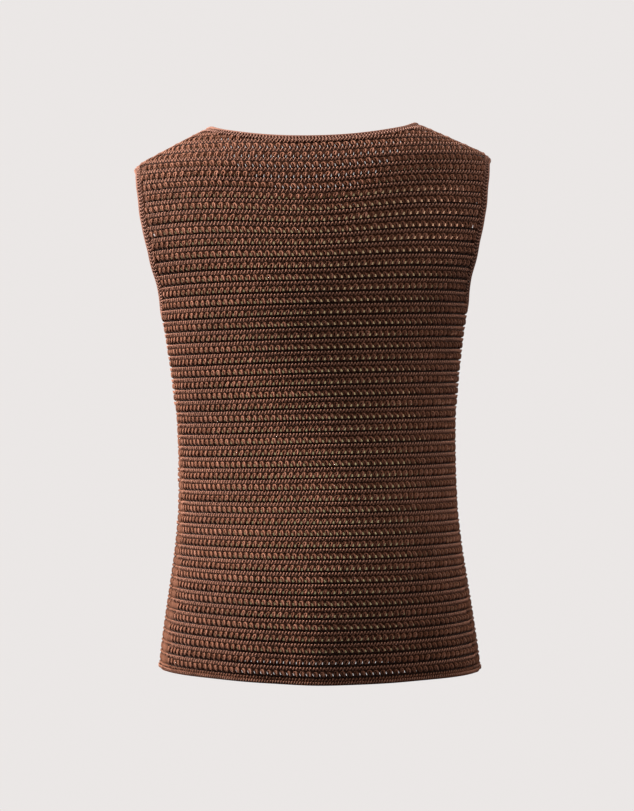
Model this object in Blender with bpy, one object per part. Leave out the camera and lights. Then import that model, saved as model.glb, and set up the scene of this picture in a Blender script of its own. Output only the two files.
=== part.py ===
"""Sleeveless boat-neck knit top, filled out as if it were worn.

Metres, +Z up. The origin lies midway between the two neck points, at the height of the shoulders.
The back of the garment faces -Y and the front faces +Y, so the wearer looks along +Y.
The cloth is cut as a back panel and a front panel, which meet at the shoulders and down the sides.
A ribbed band is sewn into the neck, and one into each armhole.
"""

import math
from collections import namedtuple

import bmesh
import bpy
import numpy as np

MM = 0.001

# Cloth and seams
WALL = 1.9 * MM
RIDGE_RISE = 1.1 * MM
EDGE_RISE = 0.5 * MM
WELT_RISE = 1.5 * MM
SEAM_GAP = 0.4 * MM
ROW_PITCH = 11.6 * MM
HEM_LEVEL = -558 * MM
WELT_HEIGHT = 9 * MM
FIRST_RIDGE = 17.8 * MM

# Bands
NECKBAND_WIDTH = 6 * MM
ARMHOLE_BAND_WIDTH = 8 * MM
BAND_THICKNESS = 3.4 * MM
BAND_GAP = 0.3 * MM

# Shoulder seam, from the panel's neck point down to the shoulder tip
NECK_POINT_HALF = 114.3 * MM
NECK_POINT_LEVEL = -3.0 * MM
TIP_HALF = 175.6 * MM
TIP_LEVEL = -33.6 * MM
ARMPIT_LEVEL = -195 * MM

# Levels at which every panel keeps a line of points: the armhole's round bottom and the seams' ends
FIXED_LEVELS = (ARMPIT_LEVEL, ARMPIT_LEVEL + 2.5 * MM, TIP_LEVEL, NECK_POINT_LEVEL)

# Neck edge of the panels
BACK_NECK_DROP = 18 * MM
FRONT_NECK_DROP = 62 * MM
BACK_NECK_POWER = 2.2
FRONT_NECK_POWER = 2.6

# How far out from the middle a row's sag fades, and how late its ends lift
SAG_REACH = 85 * MM
LIFT_POWER = 5

# The share of the half width past which a row's points crowd towards the panel's edge
EVEN_SHARE = 0.4

COLUMNS = 20
SAME_POINT = 0.02 * MM
BACK, FRONT = -1, 1

# The body form under the cloth, a stack of half ellipses. Millimetres, with z below the neck points.
# half_width and the two depths are the ellipse's radii, turn is how much nearer the right side is
# for each unit of width, sag is how far a row drops in its middle, tilt raises a row's right end
# for each unit of width, and lift raises both its ends.
Level = namedtuple("Level", "z half_width back_depth front_depth turn sag tilt lift")
BODY = [
    Level(0, 105.0, 58, 46, 0.00, 5.0, 0.010, 0),
    Level(-20, 145.5, 75, 60, 0.00, 5.5, 0.014, 0),
    Level(-33.6, 175.6, 84, 70, 0.00, 6.5, 0.016, 0),
    Level(-40, 182.0, 87, 73, 0.00, 7.0, 0.016, -0.5),
    Level(-50, 187.0, 91, 79, 0.00, 7.8, 0.016, -1.2),
    Level(-60, 189.0, 95, 85, 0.00, 8.5, 0.016, -2),
    Level(-80, 189.0, 101, 94, 0.00, 8.5, 0.015, -3.8),
    Level(-100, 186.5, 105, 103, 0.00, 7.0, 0.014, -4.5),
    Level(-120, 181.5, 108, 110, 0.00, 5.0, 0.013, -4),
    Level(-140, 174.0, 110, 115, 0.00, 3.2, 0.012, -3),
    Level(-160, 165.0, 110, 119, 0.00, 2.0, 0.012, -2),
    Level(-180, 158.8, 109, 121, 0.00, 1.0, 0.012, -0.8),
    Level(-195, 156.0, 107, 122, 0.00, 0.5, 0.012, 0),
    Level(-222, 151.6, 103, 121, 0.00, 0.0, 0.012, 0),
    Level(-262, 146.4, 100, 115, 0.02, 0.0, 0.012, 0),
    Level(-304, 143.0, 101, 109, 0.04, 0.0, 0.010, 0),
    Level(-345, 142.4, 106, 105, 0.06, 0.0, 0.006, 0),
    Level(-386, 143.4, 115, 104, 0.08, 0.3, 0.002, 0),
    Level(-427, 147.2, 125, 107, 0.09, 0.6, -0.003, 0),
    Level(-468, 153.0, 131, 110, 0.09, 1.2, -0.007, 1.5),
    Level(-510, 159.2, 132, 112, 0.07, 2.6, -0.011, 2.5),
    Level(-551, 164.6, 130, 112, 0.05, 3.8, -0.014, 1.5),
    Level(-558, 165.0, 129, 111, 0.05, 3.9, -0.015, 1),
]

# How far each panel's armhole edge lies to the panel's own side of the middle plane. Millimetres.
Armhole = namedtuple("Armhole", "z back_edge front_edge")
ARMHOLE = [
    Armhole(-33.6, 0, 0),
    Armhole(-36, 13, 12),
    Armhole(-40, 24, 23),
    Armhole(-50, 33, 34),
    Armhole(-60, 38, 40),
    Armhole(-80, 43, 47),
    Armhole(-100, 46, 53),
    Armhole(-120, 47, 56),
    Armhole(-140, 43, 54),
    Armhole(-160, 37, 47),
    Armhole(-175, 29, 38),
    Armhole(-185, 20, 27),
    Armhole(-191, 12, 14),
    Armhole(-195, 4, -4),
]

# The side seam's depth behind the middle plane
Seam = namedtuple("Seam", "z depth")
SIDE_SEAM = [
    Seam(-195, 4),
    Seam(-304, 10),
    Seam(-400, 18),
    Seam(-480, 22),
    Seam(-558, 22),
]

# Soft vertical troughs that the cloth falls into, from the hem up. Millimetres, on the named panel.
Trough = namedtuple("Trough", "panel x width depth top")
TROUGHS = [
    Trough(BACK, 30, 34, 4.5, -330),
    Trough(BACK, -38, 30, 5.0, -400),
    Trough(BACK, 104, 26, 3.0, -420),
    Trough(BACK, -108, 24, 3.0, -350),
    Trough(FRONT, 6, 36, 4.5, -260),
    Trough(FRONT, -84, 30, 4.0, -360),
    Trough(FRONT, 90, 28, 3.5, -330),
]


def smooth_curve(rows, name):
    """A monotone cubic through one named column of a table, with z and the value in metres."""
    z = np.array([row.z for row in rows], float)[::-1] * MM
    unit = 1.0 if name in ("turn", "tilt") else MM
    value = np.array([getattr(row, name) for row in rows], float)[::-1] * unit
    step = np.diff(z)
    slope = np.diff(value) / step
    tangent = np.zeros_like(value)
    same_way = slope[:-1] * slope[1:] > 0
    mean = 2 * slope[:-1] * slope[1:] / np.where(same_way, slope[:-1] + slope[1:], 1.0)
    tangent[1:-1] = np.where(same_way, mean, 0.0)
    tangent[0], tangent[-1] = slope[0], slope[-1]

    def curve(at):
        at = np.clip(at, z[0], z[-1])
        i = np.clip(np.searchsorted(z, at, side="right") - 1, 0, len(step) - 1)
        t = (at - z[i]) / step[i]
        rise = (3 - 2 * t) * t * t
        early = t * (1 - t) ** 2 * step[i] * tangent[i]
        late = t * t * (t - 1) * step[i] * tangent[i + 1]
        return value[i] * (1 - rise) + value[i + 1] * rise + early + late

    return curve


form = {name: smooth_curve(BODY, name) for name in Level._fields[1:]}
armhole_edge_depth = {
    BACK: smooth_curve(ARMHOLE, "back_edge"),
    FRONT: smooth_curve(ARMHOLE, "front_edge"),
}
seam_depth = smooth_curve(SIDE_SEAM, "depth")
panel_depth = {BACK: form["back_depth"], FRONT: form["front_depth"]}


def shoulder_half(level):
    """Half width of the shoulder seam at a level above the tip."""
    share = (level - NECK_POINT_LEVEL) / (TIP_LEVEL - NECK_POINT_LEVEL)
    return NECK_POINT_HALF + share * (TIP_HALF - NECK_POINT_HALF)


def half_width(level):
    return np.where(level > TIP_LEVEL, shoulder_half(level), form["half_width"](level))


def end_angle(panel, level):
    """The ellipse's angle, from the middle of the panel, at which the panel ends."""
    at_side = -panel * seam_depth(level)
    edge = np.where(level > ARMPIT_LEVEL, armhole_edge_depth[panel](level), at_side)
    edge = np.where(level > TIP_LEVEL, 0.0, edge)
    return np.arccos(edge / panel_depth[panel](level))


def row_angle(panel, share, level):
    """The angle at a share of the row's half width: even in the middle, up to the panel's end."""
    crowd = np.clip((abs(share) - EVEN_SHARE) / (1 - EVEN_SHARE), 0, 1)
    crowd = crowd * crowd * (3 - 2 * crowd)
    short = np.pi / 2 - end_angle(panel, level)
    return share * np.pi / 2 - np.sign(share) * short * crowd


def trough_depth(panel, x, level):
    """How far the troughs draw the cloth in."""
    total = np.zeros(np.broadcast(x, level).shape)
    for trough in TROUGHS:
        if trough.panel == panel:
            across = np.exp(-(((x - trough.x * MM) / (trough.width * MM)) ** 2))
            share = np.clip((trough.top * MM - level) / (trough.top * MM - HEM_LEVEL), 0, 1)
            total = total + trough.depth * MM * across * share ** 1.5
    return total


def body_point(panel, angle, level):
    """A point of the cloth's mean outer face: angle from the panel's middle, and the row's level."""
    x = half_width(level) * np.sin(angle)
    depth = panel_depth[panel](level) * np.cos(angle) - trough_depth(panel, x, level)
    y = panel * depth - form["turn"](level) * x
    middle = np.exp(-((x / SAG_REACH) ** 2))
    z = level - form["sag"](level) * middle + form["tilt"](level) * x
    z = z + form["lift"](level) * np.abs(np.sin(angle)) ** LIFT_POWER
    return np.stack(np.broadcast_arrays(x, y, z), axis=-1)


def outward(panel, angle, level):
    """Unit normal of the cloth, away from the body."""
    small_angle, small_level = 0.004, 0.4 * MM
    along = body_point(panel, angle + small_angle, level) - body_point(panel, angle - small_angle, level)
    up = body_point(panel, angle, level + small_level) - body_point(panel, angle, level - small_level)
    normal = -panel * np.cross(along, up)
    return normal / np.linalg.norm(normal, axis=-1, keepdims=True)


def neck_height(panel, x):
    """Height of a panel's neck edge, by its distance from the middle."""
    drop = BACK_NECK_DROP if panel == BACK else FRONT_NECK_DROP
    power = BACK_NECK_POWER if panel == BACK else FRONT_NECK_POWER
    share = np.clip(np.abs(x) / NECK_POINT_HALF, 0, 1) ** power
    return NECK_POINT_LEVEL - drop * (1 - share)


def top_level(panel, share):
    """The level at which a column of the panel, at this share of the width, meets the neck edge."""
    low, high = -100 * MM, NECK_POINT_LEVEL
    for _ in range(40):
        middle = (low + high) / 2
        point = body_point(panel, row_angle(panel, share, middle), middle)
        if point[2] < neck_height(panel, point[0]):
            low = middle
        else:
            high = middle
    return low


def row_levels():
    """Levels of the knit's ridges, one row pitch apart along the middle of the back."""
    fine = np.arange(HEM_LEVEL, NECK_POINT_LEVEL, 0.5 * MM)
    line = body_point(BACK, 0.0, fine)
    run = np.concatenate([[0], np.cumsum(np.linalg.norm(np.diff(line, axis=0), axis=1))])
    wanted = np.arange(FIRST_RIDGE, run[-1], ROW_PITCH)
    return np.interp(wanted, run, fine)


def cloth_lines():
    """Levels of the panel's lines of points with how far each stands out, from the hem up."""
    lines = [
        (HEM_LEVEL, EDGE_RISE),
        (HEM_LEVEL + WELT_HEIGHT / 2, WELT_RISE),
        (HEM_LEVEL + WELT_HEIGHT, 0.0),
    ]
    ridges = row_levels()
    hollows = (ridges[:-1] + ridges[1:]) / 2
    lines += [(level, RIDGE_RISE) for level in ridges]
    lines += [(level, 0.0) for level in hollows]
    lines.sort()
    at, rises = np.array(lines).T
    for level in FIXED_LEVELS:
        rise = np.interp(level, at, rises)
        lines = [line for line in lines if abs(line[0] - level) > 1.5 * MM]
        lines.append((level, rise))
    return sorted(lines)


def inner_lines(lines):
    """Which of the outer lines the plain inner face keeps: all of them round the armhole's foot."""
    kept, last = [0], lines[0][0]
    for index, (level, _) in enumerate(lines):
        apart = 22 * MM
        if level > ARMPIT_LEVEL - 15 * MM:
            apart = 1 * MM
        if level > ARMPIT_LEVEL + 90 * MM:
            apart = 10 * MM
        if level > TIP_LEVEL - 18 * MM:
            apart = 1 * MM
        if level in FIXED_LEVELS or level - last >= apart:
            kept.append(index)
            last = level
    return sorted(set(kept) | {len(lines) - 1})


def meets_panel(share, level):
    """Whether a row's point lies on a side or shoulder seam."""
    return abs(share) == 1 and (level <= ARMPIT_LEVEL or level >= TIP_LEVEL)


def wall_direction(panel, share, angle, level):
    """The way the wall's thickness runs: outwards, and without depth where two panels meet."""
    normal = outward(panel, angle, level)
    if meets_panel(share, level):
        normal = normal * np.array([1.0, 0.0, 1.0])
        normal = normal / np.linalg.norm(normal)
    return normal


def panel_shares():
    """Where the panels' columns of points lie, as shares of the half width."""
    return np.linspace(-1, 1, COLUMNS + 1)


def panel_grid(panel, lines, inset):
    """Points of one face of a panel, a row of them for each line, cut off at the neck edge."""
    shares = panel_shares()
    tops = [NECK_POINT_LEVEL if abs(share) == 1 else top_level(panel, share) for share in shares]
    grid = []
    for level, rise in lines:
        row = []
        for share, top in zip(shares, tops):
            cut = min(level, top)
            angle = row_angle(panel, share, cut)
            point = body_point(panel, angle, cut)
            if meets_panel(share, cut):
                point[1] += panel * SEAM_GAP / 2
            stands_out = (rise if cut == level else EDGE_RISE) - inset
            row.append(point + wall_direction(panel, share, angle, cut) * stands_out)
        grid.append(row)
    return grid


def new_object(name, mesh_data, material):
    mesh = bpy.data.meshes.new(name)
    mesh_data.to_mesh(mesh)
    mesh_data.free()
    mesh.materials.append(material)
    mesh.shade_smooth()
    mesh.set_sharp_from_angle(angle=math.radians(50))
    made = bpy.data.objects.new(name, mesh)
    bpy.context.scene.collection.objects.link(made)
    return made


def close_side(mesh, outer, inner, kept, flip):
    """Joins the outer face's fine edge to the inner face's coarser one with triangles."""
    for first, last in zip(kept[:-1], kept[1:]):
        low, high = inner[kept.index(first)], inner[kept.index(last)]
        half = (first + last) // 2
        faces = [(outer[k], outer[k + 1], low) for k in range(first, half)]
        faces += [(outer[half], high, low)]
        faces += [(outer[k], outer[k + 1], high) for k in range(half, last)]
        for corners in faces:
            if len(set(corners)) == 3:
                mesh.faces.new(corners[::-1] if flip else corners)


def make_panel(name, panel, material):
    """One closed wall of knit: ridged rows outside, plain inside."""
    lines = cloth_lines()
    kept = inner_lines(lines)
    outer_points = panel_grid(panel, lines, 0.0)
    inner_points = panel_grid(panel, [(lines[k][0], EDGE_RISE) for k in kept], WALL + EDGE_RISE)
    mesh = bmesh.new()

    def add_grid(points):
        rows = []
        for row in points:
            verts = []
            for column, point in enumerate(row):
                below = rows[-1][column] if rows else None
                same = below is not None and np.linalg.norm(np.array(below.co) - point) < SAME_POINT
                verts.append(below if same else mesh.verts.new(point))
            rows.append(verts)
        return rows

    def add_face(corners, flip):
        corners = [v for k, v in enumerate(corners) if v != corners[k - 1]]
        if len(corners) > 2:
            mesh.faces.new(corners[::-1] if flip else corners)

    outer, inner = add_grid(outer_points), add_grid(inner_points)
    turned = panel == FRONT
    for grid, flip in ((outer, turned), (inner, not turned)):
        for low, high in zip(grid[:-1], grid[1:]):
            for k in range(COLUMNS):
                add_face([low[k], low[k + 1], high[k + 1], high[k]], flip)
    for k in range(COLUMNS):
        add_face([outer[0][k], inner[0][k], inner[0][k + 1], outer[0][k + 1]], turned)
        add_face([outer[-1][k], outer[-1][k + 1], inner[-1][k + 1], inner[-1][k]], turned)
    for column, flip in ((0, turned), (COLUMNS, not turned)):
        close_side(mesh, [row[column] for row in outer], [row[column] for row in inner], kept, flip)
    bmesh.ops.triangulate(mesh, faces=mesh.faces[:])
    return new_object(name, mesh, material)


def band_section(width, edge, out_of_edge, normal):
    """The band's cross-section: a flat rib strip with a rounded free edge, off the panel's edge."""
    near, far = BAND_GAP, BAND_GAP + width
    back, front = -WALL - 0.1 * MM, -WALL - 0.1 * MM + BAND_THICKNESS
    round_in = 1.1 * MM
    outline = [
        (near, back),
        (far - round_in, back),
        (far, back + round_in),
        (far, front - round_in),
        (far - round_in, front),
        (near, front),
    ]
    return [edge + out_of_edge * reach + normal * height for reach, height in outline]


def make_ring(name, width, stations, material):
    """A closed band through its stations, each an edge point, the way off the edge and a normal."""
    mesh = bmesh.new()
    rings = [[mesh.verts.new(p) for p in band_section(width, *station)] for station in stations]
    count = len(rings[0])
    for this, following in zip(rings, rings[1:] + rings[:1]):
        for k in range(count):
            mesh.faces.new([this[k], this[(k + 1) % count], following[(k + 1) % count], following[k]])
    bmesh.ops.recalc_face_normals(mesh, faces=mesh.faces[:])
    bmesh.ops.triangulate(mesh, faces=mesh.faces[:])
    return new_object(name, mesh, material)


def with_ways_off(points, normals, inward_side):
    """Adds to each point of a closed edge the way off it, square to the edge and to the normal."""
    points, normals = np.array(points), np.array(normals)
    along = np.roll(points, -1, axis=0) - np.roll(points, 1, axis=0)
    along /= np.linalg.norm(along, axis=1, keepdims=True)
    off = np.cross(along, normals) * inward_side
    off /= np.linalg.norm(off, axis=1, keepdims=True)
    square = np.cross(off, along)
    square *= np.sign((square * normals).sum(axis=1, keepdims=True))
    return list(zip(points, off, square))


def neck_edge():
    """The panels' neck edge all the way round: across the back, then back across the front."""
    points, normals = [], []
    shares = panel_shares()
    for panel, order in ((BACK, shares), (FRONT, shares[::-1])):
        for share in order[:-1]:
            level = NECK_POINT_LEVEL if abs(share) == 1 else top_level(panel, share)
            angle = row_angle(panel, share, level)
            points.append(body_point(panel, angle, level))
            normals.append(wall_direction(panel, share, angle, level))
    return with_ways_off(points, normals, -1)


def armhole_edge(side):
    """One armhole's edge all the way round: down the back from the tip, then up the front."""
    points, normals = [], []
    up = [level for level, _ in cloth_lines() if ARMPIT_LEVEL <= level <= TIP_LEVEL]
    down = up[::-1]
    for panel, levels in ((BACK, down[:-1]), (FRONT, up[:-1])):
        for level in levels:
            angle = row_angle(panel, side, level)
            points.append(body_point(panel, angle, level))
            normals.append(wall_direction(panel, side, angle, level))
    return with_ways_off(points, normals, -side)


def knit_material(name, colour, roughness):
    material = bpy.data.materials.new(name)
    material.use_nodes = True
    shader = material.node_tree.nodes["Principled BSDF"]
    shader.inputs["Base Color"].default_value = (*colour, 1.0)
    shader.inputs["Roughness"].default_value = roughness
    shader.inputs["Metallic"].default_value = 0.0
    return material


def main():
    for existing in list(bpy.data.objects):
        bpy.data.objects.remove(existing)
    mesh_knit = knit_material("mesh_knit", (0.168, 0.072, 0.045), 0.85)
    rib_knit = knit_material("rib_knit", (0.185, 0.082, 0.052), 0.8)
    make_panel("back_panel", BACK, mesh_knit)
    make_panel("front_panel", FRONT, mesh_knit)
    make_ring("neckband", NECKBAND_WIDTH, neck_edge(), rib_knit)
    make_ring("armhole_band_left", ARMHOLE_BAND_WIDTH, armhole_edge(-1), rib_knit)
    make_ring("armhole_band_right", ARMHOLE_BAND_WIDTH, armhole_edge(1), rib_knit)


main()
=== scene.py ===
"""Looks of a sleeveless boat-neck knit top: its ridged mesh panels, ribbed bands, hem and stage.

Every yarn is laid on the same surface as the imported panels, in metres, with +Z up and the back at -Y.
"""

import math
from collections import namedtuple
from functools import partial

import bmesh
import bpy
import numpy as np
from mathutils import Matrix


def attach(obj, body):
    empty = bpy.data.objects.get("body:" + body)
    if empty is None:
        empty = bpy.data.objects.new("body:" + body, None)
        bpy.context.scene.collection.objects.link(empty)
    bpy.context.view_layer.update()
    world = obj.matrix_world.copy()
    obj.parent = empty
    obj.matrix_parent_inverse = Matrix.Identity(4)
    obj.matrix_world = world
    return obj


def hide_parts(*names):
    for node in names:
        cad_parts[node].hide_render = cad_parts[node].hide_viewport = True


bl_info = {
    "name": "Knit tank top",
    "version": (1, 0, 0),
    "blender": (4, 5, 0),
    "location": "3D View > Sidebar > Knit top",
    "description": "Makes the yarns, bands and stage of a sleeveless mesh-knit top",
    "category": "Object",
}

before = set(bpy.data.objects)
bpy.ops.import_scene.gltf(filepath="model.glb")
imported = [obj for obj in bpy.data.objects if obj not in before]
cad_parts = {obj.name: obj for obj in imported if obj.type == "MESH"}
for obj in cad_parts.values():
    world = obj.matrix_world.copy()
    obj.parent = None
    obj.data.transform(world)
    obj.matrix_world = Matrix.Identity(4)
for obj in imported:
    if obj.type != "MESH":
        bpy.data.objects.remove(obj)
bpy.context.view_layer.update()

MM = 0.001
BACK, FRONT = -1, 1
LEFT, RIGHT = -1, 1

# The cut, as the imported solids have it
HEM_LEVEL = -558 * MM
ROW_PITCH = 11.6 * MM
FIRST_RIDGE = 17.8 * MM
BAND_GAP = 0.3 * MM
NECK_POINT_HALF = 114.3 * MM
NECK_POINT_LEVEL = -3.0 * MM
TIP_HALF = 175.6 * MM
TIP_LEVEL = -33.6 * MM
ARMPIT_LEVEL = -195 * MM
NECK_DROP = {BACK: 18 * MM, FRONT: 62 * MM}
NECK_POWER = {BACK: 2.2, FRONT: 2.6}
SAG_REACH = 85 * MM
LIFT_POWER = 5

# The body form under the cloth, level by level, in millimetres, but for turn and tilt, which are slopes.
# The cloth sags in the middle, tilts from left to right and lifts at the sides.
Level = namedtuple("Level", "z half_width back_depth front_depth turn sag tilt lift")
BODY = [Level(*row) for row in (
    (0, 105, 58, 46, 0, 5, 0.01, 0),
    (-20, 145.5, 75, 60, 0, 5.5, 0.014, 0),
    (-33.6, 175.6, 84, 70, 0, 6.5, 0.016, 0),
    (-40, 182, 87, 73, 0, 7, 0.016, -0.5),
    (-50, 187, 91, 79, 0, 7.8, 0.016, -1.2),
    (-60, 189, 95, 85, 0, 8.5, 0.016, -2),
    (-80, 189, 101, 94, 0, 8.5, 0.015, -3.8),
    (-100, 186.5, 105, 103, 0, 7, 0.014, -4.5),
    (-120, 181.5, 108, 110, 0, 5, 0.013, -4),
    (-140, 174, 110, 115, 0, 3.2, 0.012, -3),
    (-160, 165, 110, 119, 0, 2, 0.012, -2),
    (-180, 158.8, 109, 121, 0, 1, 0.012, -0.8),
    (-195, 156, 107, 122, 0, 0.5, 0.012, 0),
    (-222, 151.6, 103, 121, 0, 0, 0.012, 0),
    (-262, 146.4, 100, 115, 0.02, 0, 0.012, 0),
    (-304, 143, 101, 109, 0.04, 0, 0.01, 0),
    (-345, 142.4, 106, 105, 0.06, 0, 0.006, 0),
    (-386, 143.4, 115, 104, 0.08, 0.3, 0.002, 0),
    (-427, 147.2, 125, 107, 0.09, 0.6, -0.003, 0),
    (-468, 153, 131, 110, 0.09, 1.2, -0.007, 1.5),
    (-510, 159.2, 132, 112, 0.07, 2.6, -0.011, 2.5),
    (-551, 164.6, 130, 112, 0.05, 3.8, -0.014, 1.5),
    (-558, 165, 129, 111, 0.05, 3.9, -0.015, 1),
)]

# How far each panel's armhole edge lies to the panel's own side of the middle plane. Millimetres.
Armhole = namedtuple("Armhole", "z back_edge front_edge")
ARMHOLE = [Armhole(*row) for row in (
    (-33.6, 0, 0), (-36, 13, 12), (-40, 24, 23), (-50, 33, 34), (-60, 38, 40),
    (-80, 43, 47), (-100, 46, 53), (-120, 47, 56), (-140, 43, 54), (-160, 37, 47),
    (-175, 29, 38), (-185, 20, 27), (-191, 12, 14), (-195, 4, -4),
)]

# The side seam's depth behind the middle plane. Millimetres.
Seam = namedtuple("Seam", "z depth")
SIDE_SEAM = [Seam(*row) for row in (
    (-195, 4), (-304, 10), (-400, 18), (-480, 22), (-558, 22),
)]

# Soft vertical troughs that the cloth falls into, from the hem up. Millimetres, on the named panel.
Trough = namedtuple("Trough", "panel x width depth top")
TROUGHS = [Trough(*row) for row in (
    (BACK, 30, 34, 4.5, -330), (BACK, -38, 30, 5.0, -400),
    (BACK, 104, 26, 3.0, -420), (BACK, -108, 24, 3.0, -350),
    (FRONT, 6, 36, 4.5, -260), (FRONT, -84, 30, 4.0, -360),
    (FRONT, 90, 28, 3.5, -330),
)]

# Width of one mesh repeat, which is two stitches, by height. Millimetres.
Repeat = namedtuple("Repeat", "z width")
REPEAT = [Repeat(*row) for row in (
    (0, 7.6), (-90, 7.4), (-140, 7.0), (-195, 6.65), (-250, 6.5), (-480, 6.4), (-558, 6.65),
)]

# One mesh loop: share of the repeat's width, height over the ridge below, rise and thickness. Millimetres.
LOOP = (
    (-0.08, 2.4, -1.3, 0.8), (-0.16, 3.5, -0.1, 0.95), (-0.21, 5.3, 0.2, 1.0),
    (-0.19, 7.0, 0.1, 1.0), (-0.02, 7.7, 0.1, 1.05), (0.16, 7.2, 0.5, 1.2),
    (0.21, 5.5, 0.8, 1.35), (0.15, 3.8, 0.8, 1.25), (0.08, 2.4, -1.0, 0.9),
)
LOOP_MIDDLE = 5 * MM
LOOP_MARGIN = 0.6 * MM
LOOP_MARGIN_SHARE = 0.12
# Alternate rows lie half a repeat apart, and their loops and holes lean across, for each unit of height
ROW_OFFSETS = (0.0, 0.5)
LEANS = (-0.32, 0.2)
# How much the loops differ from each other, and the fixed seed of each panel
SEEDS = {BACK: 7, FRONT: 11}
UNEVEN = 0.16 * MM
UNEVEN_LOOP = 0.15 * MM
UNEVEN_SHARE = 0.08
# Random tone of each loop, which also gives the loops more painted shade than the ridges
LOOP_TONE_AND_SHADE = (0.66, 0.98)

# Lines of the ground cloth in each row: height over the ridge, rise and how wide the hole is drawn there.
# The back's holes are between the last two. The front's are drawn shut.
GroundLine = namedtuple("GroundLine", "height rise hole")
GROUND = [GroundLine(0.8, -1.7, 1.0), GroundLine(3.2, -1.7, 1.25), GroundLine(5.6, -0.9, 0.7)]
# Holes that show the backdrop, over the front's neckline and in the lowest rows, are narrower
OVER_FRONT_NECK = -70 * MM
LOW_ROWS = 2
NARROW_HOLE = 0.27
# Where there are no loops the ground lies this deep. Holes keep off the pattern's sides and the edges.
GROUND_RISE = -1.0 * MM
HEM_FOLD = 3 * MM
HEM_FOLD_RISE = -1.2 * MM
HOLE_TO_SIDE = 5 * MM
HOLE_TO_EDGE = 4 * MM
SMALLEST_FACE = 0.02 * MM * MM
STEPS_A_REPEAT = 4

# Cords that coil along a row: half height, rise, depth and how far the tips stand out
Cord = namedtuple("Cord", "half_height rise depth tip")
RIDGE = Cord(2.0 * MM, 0.9 * MM, 0.45 * MM, 0.35 * MM)
HEM_CORD = Cord(1.5 * MM, 0.1 * MM, 1.0 * MM, 0.0)
# The lowest row starts from a low ridge between the hem's cord and the first full ridge
LOW_RIDGE = RIDGE._replace(rise=RIDGE.rise - 1.3 * MM)
# A coil's points a turn, its strokes' slant, and the yarn's thickness below and above its middle
TURN_POINTS = 4
COIL_SLANT = 0.075
COIL_FOOT = 0.55
COIL_CREST = 0.86
# The ridge's middle, over its level, and the hem cord's, over the hem
RIDGE_MIDDLE = -1.0 * MM
HEM_CORD_HEIGHT = 2.5 * MM
HEM_CORD_PITCH = 2.7 * MM
CORD_END = 1 * MM
SHORTEST_SPAN = 6 * MM
# A row's coil starts between these shares of a pitch in from the row's end
RIDGE_START = (0.2, 1.0)
# The relief falls off beside the side seams, down to this share
EDGE_FADE = 14 * MM
EDGE_SHARE = 0.5

# How open to the light a yarn is painted, for its painted shade: not at all this deep in the cloth, and
# fully this far out
DEEPEST = -1.7 * MM
FARTHEST_OUT = 1.3 * MM

# The hidden front is knitted a little wider, stitch by stitch, and starts a quarter repeat further on
GAUGE = {BACK: 1.0, FRONT: 1.085}
SHIFT = {BACK: 0.0, FRONT: 0.25}

# Where the mesh pattern gives way to plain knit beside the side seams
PATTERN_REPEATS = 56
PLAIN_TOP = -285 * MM
STRIP_STAGGER = (0.0, 0.9, -0.3, 1.4, 0.4, -0.6, 1.1)
SIDE_CORD_RADIUS = 1.2 * MM
SIDE_CORD_RISE = -0.6 * MM
SIDE_OVERLAP = 2 * MM
SIDE_STITCH_RADIUS = 0.95 * MM
SIDE_STITCH_END = 1.6 * MM
SIDE_STITCH_PITCH = 1.9 * MM
SIDE_STITCH_RISES = (-1.9, -0.6, -0.6, -1.9)

# The rolled join along each shoulder
SHOULDER_SEAM_RADIUS = 1.6 * MM
SHOULDER_SEAM_LIFT = 0.6 * MM

# Cords that coil along a band: place across it, half height, rise, depth and lean. Millimetres.
BandCord = namedtuple("BandCord", "place half_height rise depth lean")
# A band's width, its stitches' pitch, the radius of the smooth roll along its free edge, and its cords
Band = namedtuple("Band", "width pitch roll cords")
NECKBAND = Band(6 * MM, 3.4 * MM, 1.2 * MM, [BandCord(0.3, 1.5, 0.5, 1.0, 1)])
ARMHOLE_BAND = Band(8 * MM, 3.6 * MM, 1.5 * MM,
                    [BandCord(1.6, 1.5, 0.0, 1.0, 1), BandCord(4.6, 1.5, 0.1, 1.0, -1)])
# The neckband's short upright stitches: place across the band and rise at each point. Millimetres.
NECK_STITCH_PLACES = (2.3, 2.9, 4.1, 4.7)
NECK_STITCH_RISES = (-1.2, 0.7, 0.7, -1.2)
# The roll's rise over the band, the share of its radius that it lies in from the edge, and how it
# stands up and swells at the neck points
ROLL_STAND = -0.2 * MM
ROLL_INSET = 0.7
NECK_POINT_LIFT = 2.2 * MM
NECK_POINT_SPREAD = 11 * MM
NECK_POINT_SWELL = 0.9
# The depth by which a band's ground and its smooth rolls are given painted shade
BAND_SHADE = -1.0 * MM
ROLL_SHADE = 0.5 * MM
# Points along a band, and along each panel's share of an armhole and of the neck
BAND_POINTS = 240
FINE_BAND_POINTS = 720
ARMHOLE_POINTS = 60
NECK_POINTS = 70
HALVINGS = 40
LOWEST_NECK = -100 * MM

# Surface grid
WIDEST_ANGLE = 1.8
ANGLES = 401
LEVEL_STEP = 1.5 * MM
ACROSS_STEP = 2 * MM
ACROSS_MOST = 260 * MM
EDGE_MARGIN = 0.8 * MM

# Camera and stage
CAMERA_DISTANCE = 2.6
PHOTO_HEIGHT = 811
PIXEL_AT_MIDDLE = 1.03 * MM
SENSOR = 36
CAMERA_X = 1.2 * MM
CAMERA_Z = -286.9 * MM
CAMERA_ROLL = 0.0136
FLOOR_LEVEL = -0.78
INSIDE_Z = -300 * MM


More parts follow.
